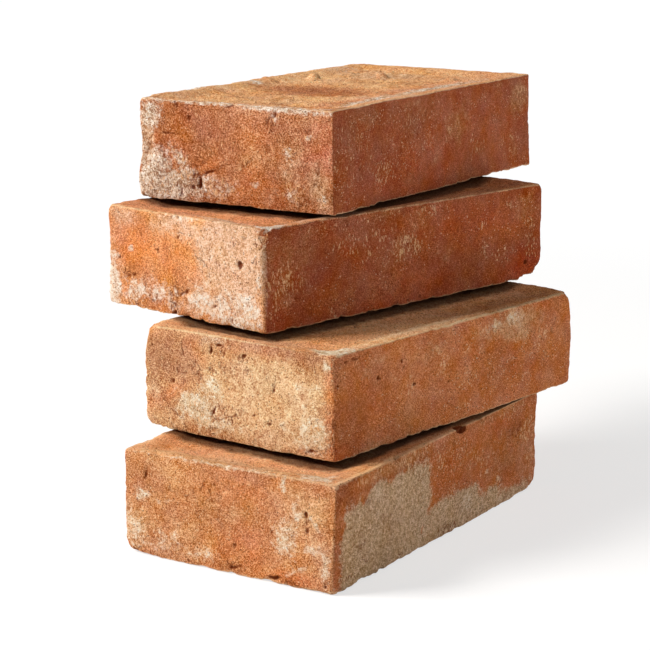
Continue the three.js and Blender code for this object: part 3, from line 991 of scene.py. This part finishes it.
thirdBrick = {
    "piece": "weathered_brick_third",
    "node": "brick_third",
    "above": "brick_top",
    "slot": "clay_third",
    "centre": (-43.1, 61.1),
    "turn": -12.2,
    "size": (119.4, 226.1, 54.5),
    "surface": {**allSurface, "Seed": 37.0, "Lumps": 0.5, "Sand": 0.32, "Pits": 1.0},
    "clay": {
        **allClay, "speckShare": 0.2, "shadedPinholeShare": 0.5, "speck": "#f0c8a0",
        "header": ("#9f5119", "#eea666", "#fedda9"),
        "stretcher": ("#8b3b14", "#ae5328", "#d98359"),
        "bed": ("#a65a24", "#f9a66e", "#ffcd9b"),
        "orange": ("#a14300", "#e77d2a", "#f9b269"),
        "brown": ("#77350e", "#c0713b", "#e1a46a"),
        "red": ("#912f0b", "#b84617", "#e26f39"),
        "pink": ("#b0623a", "#eaa880", "#fcd8b8"),
        "sand": ("#b47e4f", "#f2c6a1", "#f4ead8"),
        "lime": ("#c39571", "#f4e3cd", "#f4f7f5"),
    },
    "orange": {
        "front": [
            (22, 34, 22, 16, 0.85), (16, 45, 10, 6, 0.3), (45, 36, 18, 10, 0.65),
            (45, 27, 20, 8, 0.6), (65, 3, 16, 3, 0.5), (18, 10, 8, 6, 0.6), (40, 24, 8, 22, 0.4),
        ],
        "right": [(168, 38, 56, 14, 0.35)],
    },
    "brown": {
        "front": [
            (25, 19, 18, 5, 0.45), (50, 14, 10, 9, 0.5), (36, 10, 6, 5, 0.5), (76, 42, 5, 8, 0.4),
            (20, 47, 14, 5, 0.35), (101, 34, 4, 5, 0.5),
        ],
        "right": [
            (82, 12, 28, 8, 0.5), (162, 12, 14, 8, 0.45), (25, 42, 20, 8, 0.35),
            (60, 12, 26, 9, 0.5),
        ],
        "left": [(90, 14, 44, 9, 0.6), (190, 34, 26, 12, 0.4)],
        "back": [(70, 40, 26, 9, 0.5)],
        # A painted shadow of the brick above, browning the strips of the top to its right.
        "top": [(108, 110, 16, 120, 0.5), (84, 190, 26, 50, 0.6)],
    },
    "red": {
        "right": [
            (165, 40, 55, 12, 0.5), (140, 10, 12, 8, 0.3), (207, 11, 3, 2.5, 0.9),
            (88, 9, 38, 9, 0.8), (211, 9, 15, 10, 1.0),
        ],
    },
    "pink": {
        "front": [
            (96, 40, 26, 16, 0.5), (70, 23, 8, 6, 0.6), (8, 40, 8, 16, 0.4), (36, 10, 7, 6, 0.6),
        ],
        "top": [(30, 12, 20, 9, 0.4)],
    },
    "flecks": {
        "front": [(108, 12, 10, 6, 0.6)],
        "right": [
            (90, 53, 16, 2.5, 0.6, -2), (130, 50, 3.4, 2.2, 1.2), (62, 37, 4, 4, 0.8),
            (79, 33, 3, 5, 0.8, 30), (88, 40, 4, 4, 0.6), (97, 34, 2.8, 7, 0.7),
            (110, 30, 7, 4, 0.8), (112, 38, 6, 3, 0.6), (172, 36, 3.6, 2.6, 1.2),
            (174, 22, 3, 4, 0.8, 30), (185, 15, 3.4, 2.2, 1.0), (196, 45, 3.4, 2.6, 0.8, -30),
            (217, 30, 2.6, 2.6, 1.0), (217, 20, 3, 2.6, 0.9), (15, 24, 13, 10, 0.4),
            (51, 4, 7, 2, 0.9, -45), (15, 25, 14, 12, 0.7), (8, 12, 8, 8, 0.5),
            (90, 35, 34, 9, 0.45), (110, 33, 9, 7, 0.9), (97, 31, 8, 6, 0.7), (86, 42, 10, 4, 0.6),
            (215, 25, 8, 12, 0.5), (130, 50, 12, 3, 0.6), (60, 38, 9, 6, 0.6),
            (192, 17, 12, 6, 0.4), (70, 50, 50, 4, 0.3),
        ],
        "left": [(60, 36, 34, 12, 0.6), (170, 18, 30, 10, 0.7)],
        "back": [(90, 22, 20, 14, 0.7)],
    },
    "burnt": {
        "front": [
            (36, 10, 8, 5, 0.6), (52, 6, 4, 6, 0.85), (55, 15, 8, 4, 0.6, 35),
            (76, 42, 4, 9, 0.55), (78, 28, 4, 8, 0.5), (20, 19, 9, 3, 0.65), (94.5, 4, 2, 2, 0.8),
            (112, 35, 1.6, 3, 0.9), (84, 10, 4, 1.6, 0.8, 15), (20, 2, 9, 2, 0.6),
            (39, 34, 2, 2, 0.9), (108, 33, 1.2, 1.2, 1.0), (100, 25, 1.2, 1.2, 1.0),
            (113, 45, 1.2, 1.2, 1.0), (104, 48, 1.2, 2, 0.9), (97, 44, 1.6, 1.2, 0.8),
            (86, 32, 2, 2, 0.7),
        ],
    },
    "sand": {
        "front": [
            (97, 38, 30, 24, 0.95), (54, 49, 24, 6, 0.8), (68, 6, 16, 8, 0.7),
            (78, 12, 22, 12, 0.7), (38, 48, 10, 5, 0.4), (14, 48, 15, 6, 0.6),
            (6, 28, 8, 14, 0.55),
        ],
        "right": [(0, 30, 3, 24, 0.7)],
        "top": [(88, 8, 32, 9, 0.9), (113, 60, 8, 50, 0.6)],
    },
    "dust": {
        "right": [
            (20, 28, 18, 14, 0.25), (18, 30, 26, 22, 0.42), (100, 36, 26, 12, 0.35),
            (90, 51, 18, 3, 0.5), (205, 40, 10, 9, 0.35), (118, 44, 16, 7, 0.5),
            (212, 42, 14, 10, 0.6), (135, 26, 20, 10, 0.4),
        ],
        "left": [(110, 40, 36, 9, 0.5), (205, 12, 16, 8, 0.6)],
    },
    "mortar": {},
    "lime": {
        "front": [
            (2, 9, 8, 12, 1.2), (5, 27, 4, 3, 0.8), (19, 32, 2.6, 2, 0.8), (42, 12, 18, 7, 0.6),
            (16, 16, 6, 3, 0.5), (60, 53, 14, 2, 0.6, 3), (96, 8, 24, 12, 0.65),
            (74, 10, 14, 9, 0.65), (107, 12, 11, 7, 0.85), (100, 4, 16, 3, 0.6),
            (115, 26, 3, 8, 0.5), (23, 9, 9, 7, 0.8), (52, 9, 7, 6, 0.6),
        ],
        "left": [(20, 12, 18, 9, 0.8), (140, 42, 20, 8, 0.5)],
        "back": [(20, 12, 18, 9, 0.7)],
        "top": [(112, 10, 10, 11, 0.8)],
    },
    "dents": {
        "front": [
            (101, 34, 1.8, 2.2, 1.5), (112.5, 36, 0.8, 1.8, 0.8), (108, 33, 0.7, 1, 0.7),
            (100, 25, 0.7, 0.8, 0.8), (113, 45, 0.7, 1, 0.8), (94.5, 4, 1, 1.4, 1.0),
            (51.5, 3, 1.2, 4, 1.5, -6), (60, 14, 5, 0.9, 0.9, 35), (83, 10, 2.5, 0.7, 0.9, 15),
            (39, 34, 1.6, 1.2, 0.9, 20), (55, 42, 0.8, 1.6, 0.8), (20, 18, 6, 0.9, 0.7, 10),
        ],
        "right": [(211, 10, 1.1, 1.1, 1.8), (50, 6, 7, 0.6, 0.5, -42)],
        "left": [(84, 26, 1.6, 1.4, 1.3), (150, 8, 4, 0.9, 1.0, 15)],
        "back": [(50, 30, 1.2, 2, 1.2, 10)],
    },
    "hollows": {
        "right": [(224, 2, 16, 5, 2.4, 18)],
    },
    "knobs": {},
}

topBrick = {
    "piece": "weathered_brick_top",
    "node": "brick_top",
    "above": None,
    "slot": "clay_top",
    "centre": (-59.8, 102.2),
    "turn": 0.3,
    "size": (121.6, 231.6, 55.3),
    "surface": {**allSurface, "Seed": 53.0, "Lumps": 0.6, "Sand": 0.34, "Pits": 1.0, "Struck": 2.4},
    "clay": {
        **allClay, "rubbed": 0.8, "speck": "#eec298",
        "header": ("#823c09", "#d18147", "#fcd3a4"),
        "stretcher": ("#90401c", "#b35c33", "#da8458"),
        "bed": ("#b55b1f", "#ffc282", "#ffedbc"),
        "orange": ("#8a3c0c", "#d06f2c", "#f0a566"),
        "brown": ("#6a2a08", "#a9582e", "#d08a58"),
        "red": ("#8c3411", "#b24d22", "#d97745"),
        "pink": ("#a8502c", "#e6946c", "#ffceac"),
        "sand": ("#a0683a", "#e6b88e", "#ffe6c6"),
        "lime": ("#96633e", "#f6e4ca", "#ffffff"),
    },
    "orange": {
        "front": [
            (78, 10, 16, 10, 0.8), (32, 46, 16, 6, 0.4), (45, 22, 9, 6, 0.5), (52, 32, 10, 9, 0.5),
            (37, 47, 9, 6, 0.25),
        ],
        "top": [
            (62, 100, 24, 22, 0.8), (40, 96, 24, 24, 0.7), (40, 60, 24, 16, 0.3),
            (78, 200, 16, 14, 0.3),
        ],
    },
    "brown": {
        "front": [
            (22, 44, 9, 8, 0.35), (46, 42, 13, 9, 0.5), (46, 32, 16, 7, 0.4), (17, 27, 7, 6, 0.3),
            (30, 11, 7, 3, 0.5), (84, 44, 4, 6, 0.4), (106, 44, 4, 5, 0.4), (112, 18, 3, 8, 0.4),
            (53, 30, 9, 9, 0.4),
        ],
        "right": [
            (30, 46, 32, 8, 0.5), (90, 40, 12, 8, 0.7), (155, 4, 27, 5, 0.7),
            (55, 30, 10, 6, 0.35), (4, 30, 5, 22, 0.4),
        ],
        "left": [(120, 12, 50, 9, 0.6), (60, 26, 18, 12, 0.4)],
        "back": [(36, 40, 26, 9, 0.5)],
        "top": [
            (52, 98, 26, 20, 0.5), (86, 27, 28, 5, 0.5), (50, 152, 9, 7, 0.5),
            (76, 162, 9, 8, 0.4), (20, 96, 14, 8, 0.35), (116, 12, 5, 12, 0.8),
        ],
    },
    "red": {
        "right": [
            (45, 5, 40, 5, 0.3), (160, 34, 30, 14, 0.3), (215, 25, 12, 14, 0.3),
            (78, 16, 54, 15, 0.7),
        ],
    },
    "pink": {
        "front": [
            (115, 26, 10, 26, 0.9), (60, 44, 36, 9, 0.35), (18, 27, 10, 8, 0.7),
            (3, 28, 6, 10, 0.7, -20),
        ],
        "top": [(104, 110, 18, 110, 0.7), (60, 4, 60, 6, 0.5)],
    },
    "flecks": {
        "front": [
            (96, 32, 6, 6, 0.7), (66, 28, 20, 9, 0.4), (86, 49, 4, 3, 0.9),
            (107, 40, 6, 2, 0.9, 20), (96, 9, 6, 5, 0.9), (74, 13, 4, 3, 0.8), (117, 9, 4, 3, 1.0),
            (32, 15, 10, 6, 1.0), (50, 10, 12, 6, 0.9), (12, 6, 12, 5, 0.8),
            (26, 24, 8, 4, 0.8, -45),
        ],
        "right": [
            (50, 17, 10, 4, 0.4), (222, 48, 7, 4, 0.6), (50, 17, 14, 7, 0.6), (128, 31, 7, 8, 0.3),
            (160, 19, 12, 6, 0.5), (208, 15, 10, 8, 0.6), (20, 30, 22, 20, 0.25),
            (85, 30, 30, 20, 0.2),
        ],
        "left": [(150, 36, 44, 11, 0.6), (20, 14, 16, 9, 0.7)],
        "back": [(60, 24, 26, 12, 0.6)],
    },
    "burnt": {
        "front": [
            (38, 10, 4, 4, 0.9), (28, 5, 9, 3, 0.7), (50, 34, 14, 8, 0.4),
            (84, 46, 3, 5, 0.65, 30), (107, 44, 2, 4, 0.7), (24, 52, 2, 3, 0.9, 30),
            (112, 20, 2, 7, 0.65), (17, 26, 6, 5, 0.5), (104, 4, 4, 2, 0.7, 30),
            (69, 24, 5, 2, 0.7, 40), (27, 7, 4, 5, 0.8, 20), (36, 12, 6, 4, 0.6),
        ],
        "top": [
            (116, 10, 4, 8, 0.8), (60, 60, 8, 8, 0.35), (26, 143, 4, 3, 0.8, 20),
            (57, 169, 4, 3, 0.8, 20),
        ],
    },
    "sand": {
        "front": [
            (4, 29, 5, 10, 1.3, -15), (102, 7, 14, 7, 0.5), (108, 40, 10, 3, 0.4, 30),
            (96, 33, 8, 5, 0.4), (62, 26, 10, 8, 0.3), (113, 12, 9, 14, 0.9), (84, 8, 12, 8, 0.5),
            (96, 22, 10, 18, 0.5), (3, 30, 6, 11, 1.2, -15),
        ],
        "top": [
            (107, 110, 9, 95, 1.1), (42, 190, 32, 24, 0.6), (12, 40, 14, 36, 0.4),
            (50, 8, 60, 7, 0.5), (95, 215, 20, 12, 0.35), (60, 12, 58, 14, 0.4),
            (60, 46, 46, 14, 0.4),
        ],
    },
    "dust": {
        "right": [
            (82, 51, 20, 2.4, 0.5), (128, 31, 6, 7, 0.5), (124, 44, 4, 6, 0.3),
            (152, 44, 14, 7, 0.4), (113, 17, 6, 5, 0.5), (165, 18, 10, 4, 0.4),
            (200, 28, 9, 5, 0.4), (210, 15, 6, 7, 0.45), (190, 52, 8, 2, 0.6),
            (222, 49, 8, 5, 0.55), (50, 17, 12, 5, 0.4), (78, 25, 5, 8, 0.3), (12, 50, 8, 3, 0.45),
            (25, 38, 22, 7, 0.35), (138, 34, 16, 14, 0.55), (218, 42, 14, 12, 0.7),
            (36, 45, 22, 7, 0.4), (215, 10, 12, 8, 0.4),
        ],
        "left": [(90, 44, 34, 7, 0.6), (210, 38, 16, 10, 0.6)],
    },
    "mortar": {},
    "lime": {
        "front": [
            (14, 8, 20, 9, 1.1), (10, 18, 11, 14, 0.75, -25), (26, 24, 12, 4, 0.7, -45),
            (38, 10, 12, 8, 0.75), (54, 9, 11, 6, 0.6, 15), (32, 16, 7, 4, 0.7),
            (116, 9, 4, 3, 0.7), (96, 9, 5, 4, 0.6), (95, 31, 3, 4, 0.6),
            (107, 40, 3, 1.4, 0.6, 20), (74, 13, 3, 2, 0.6), (86, 49, 3, 3, 0.6),
            # The long marks along the top arris are part lime, part a painted highlight.
            (36, 54.6, 34, 1.6, 0.7), (90, 54, 34, 2.2, 0.8, -1), (1, 30, 1.6, 28, 0.5),
            (7, 46, 9, 8, 0.75), (4, 30, 5, 9, 0.6, -15),
        ],
        "left": [(200, 10, 24, 8, 0.7), (36, 42, 22, 8, 0.6)],
        "back": [(96, 14, 20, 9, 0.7)],
        "top": [
            # The long mark along the front arris is part lime, part a painted highlight.
            (60, 0, 62, 4, 0.75), (102, 10, 18, 7, 0.7), (104, 122, 8, 14, 0.55),
            (107, 60, 8, 44, 0.6, 2), (105, 150, 8, 46, 0.7, -2), (8, 104, 7, 6, 0.7),
            (42, 180, 3, 6, 0.4, 20), (10, 200, 8, 18, 0.4), (2, 60, 3, 60, 0.5),
        ],
    },
    "dents": {
        "front": [
            (46, 17.5, 7, 0.7, 0.8, 20), (18, 36.5, 11, 0.8, 0.7, 2), (6, 29, 8, 0.7, 0.7, 66),
            (113, 23, 4, 0.7, 0.7, 80), (110.5, 15, 4, 0.7, 0.6, 60),
            (107.5, 45, 3.4, 0.7, 0.7, 85), (24, 53, 2.6, 0.8, 1.2, -60),
            (58, 54, 3, 0.9, 1.0, 30), (82, 46, 4, 0.7, 0.8, 65), (86, 51, 2.4, 0.8, 1.0, 65),
            (104, 4.5, 5, 0.7, 0.7, 45), (69, 23, 5, 0.6, 0.5, 40), (83, 33, 1, 2.4, 0.6, 20),
            (120, 51, 3, 0.8, 1.0, 60), (39, 11, 0.9, 2.4, 2.2, -10), (34, 9, 1.0, 1.1, 1.4, 20),
            (35, 14.5, 3, 0.8, 1.0, 45), (27, 5, 0.8, 3, 0.8, 15), (22, 9, 2, 0.6, 0.6, 20),
        ],
        "left": [(76, 34, 1.2, 2.2, 1.3), (170, 22, 5, 0.8, 0.8, 12)],
        "back": [(84, 34, 1.2, 1.2, 1.2)],
        "top": [
            (24, 145, 1.6, 4, 0.8, 25), (55, 171, 1.6, 4, 0.8, 25), (62, 60, 1.4, 3, 1.2, 20),
            (66, 38, 1.4, 4, 1.2, 20),
        ],
    },
    "hollows": {
        "front": [(2, 29, 7, 10, 1.6, -20), (26, 10, 12, 7, 0.8), (60, 55, 62, 1.6, 0.8)],
        "top": [(60, 75, 36, 44, 0.8), (84, 28, 34, 8, 1.4)],
    },
    "knobs": {
        "front": [(12, 33, 5, 3, 0.7), (48, 20, 7, 2, 0.7, 20)],
        "top": [
            (19, 151, 3, 4, 3, 20), (50, 178, 3, 4.5, 3, 20), (33, 200, 4, 3, 1.4),
            (90, 190, 3, 4, 1.4), (8, 118, 4, 3, 1.5),
        ],
    },
}

studio = {
    "floorReach": 8.0,              # m
    "floorFade": (0.35, 1.1),       # m from the stack, where its shadow starts to fade and ends
    "floorPaint": (0.8, 0.8, 0.8, 1),   # the floor as the bricks see it
    "floorGlow": 1.02,              # the white that the camera sees far off
    "floorLift": 0.62,              # the share of that beside the stack
    "middle": (0, 0.05, 0.11),      # m, where the lamps point
    "room": 0.16,                   # the white room's strength on the bricks
    "lampPower": 103,               # W, a large soft box in front on the left
    "lampSide": 1.1,                # m
    "lampColour": (1.0, 0.97, 0.93),
    "lampTowards": (-0.61, -0.51, 0.61),
    "lampDistance": 2.6,            # m
    "fillPower": 4.25,              # W, a small one behind on the right, for the shaded sides
    "fillSide": 0.8,                # m
    "fillColour": (1.0, 0.98, 0.95),
    "fillTowards": (0.82, 0.38, 0.24),
    "fillDistance": 1.0,            # m
}
white = (1, 1, 1, 1)


# The camera sees the floor lifted to white. The shadow on it stays, and far off there is none.
def makeFloor():
    reach = studio["floorReach"]
    mesh = bpy.data.meshes.new("floor")
    corners = [(-reach, -reach, 0), (reach, -reach, 0), (reach, reach, 0), (-reach, reach, 0)]
    mesh.from_pydata(corners, [], [(0, 1, 2, 3)])
    floor = bpy.data.objects.new("floor", mesh)
    bpy.context.scene.collection.objects.link(floor)
    material = bpy.data.materials.new("white studio floor")
    material.use_nodes = True
    tree = material.node_tree
    tree.nodes.clear()
    add = partial(addNode, tree)
    rays = add("ShaderNodeLightPath").node.outputs
    place = add("ShaderNodeTexCoord").node.outputs["Object"]
    far = add("ShaderNodeVectorMath", {0: place}, operation="LENGTH")
    fadeStart, fadeEnd = studio["floorFade"]
    share = add("ShaderNodeMapRange", {
        "Value": far, "From Min": fadeStart, "From Max": fadeEnd, "To Min": studio["floorLift"],
        "To Max": 1.0}, interpolation_type="SMOOTHSTEP")
    bright = add("ShaderNodeBsdfDiffuse", {"Color": white})
    glow = add("ShaderNodeEmission", {"Color": white, "Strength": studio["floorGlow"]})
    lifted = add("ShaderNodeMixShader", {0: share, 1: bright, 2: glow})
    paint = add("ShaderNodeBsdfDiffuse", {"Color": studio["floorPaint"]})
    mixed = add("ShaderNodeMixShader", {0: rays["Is Camera Ray"], 1: paint, 2: lifted})
    add("ShaderNodeOutputMaterial", {"Surface": mixed})
    mesh.materials.append(material)


# A white room, seen at full strength and lighting the bricks dimly, and the two lamps.
def makeLight():
    world = bpy.data.worlds.new("white room")
    bpy.context.scene.world = world
    world.use_nodes = True
    tree = world.node_tree
    tree.nodes.clear()
    add = partial(addNode, tree)
    rays = add("ShaderNodeLightPath").node.outputs
    seen = rays["Is Camera Ray"]
    for name in ("Is Glossy Ray", "Is Transmission Ray"):
        seen = add("ShaderNodeMath", {0: seen, 1: rays[name]}, operation="MAXIMUM")
    strength = add("ShaderNodeMix", {"Factor": seen, "A": studio["room"], "B": 1.0})
    sky = add("ShaderNodeBackground", {"Color": white, "Strength": strength})
    add("ShaderNodeOutputWorld", {"Surface": sky})

    for name in ("lamp", "fill"):
        light = bpy.data.lights.new(name, "AREA")
        light.energy = studio[name + "Power"]
        light.size = studio[name + "Side"]
        light.color = studio[name + "Colour"]
        lamp = bpy.data.objects.new(name, light)
        towards = Vector(studio[name + "Towards"]).normalized()
        lamp.location = Vector(studio["middle"]) + towards * studio[name + "Distance"]
        lamp.rotation_euler = towards.to_track_quat("Z", "Y").to_euler()
        bpy.context.scene.collection.objects.link(lamp)


makeCamera(cameraLook)
makeFloor()
makeLight()
print("camera, floor and light are set")

spotGroup = makeSpotGroup()
for brick in (bottomBrick, secondBrick, thirdBrick, topBrick):
    makeBrick(brick, spotGroup)

bpy.context.scene.view_settings.view_transform = "Standard"
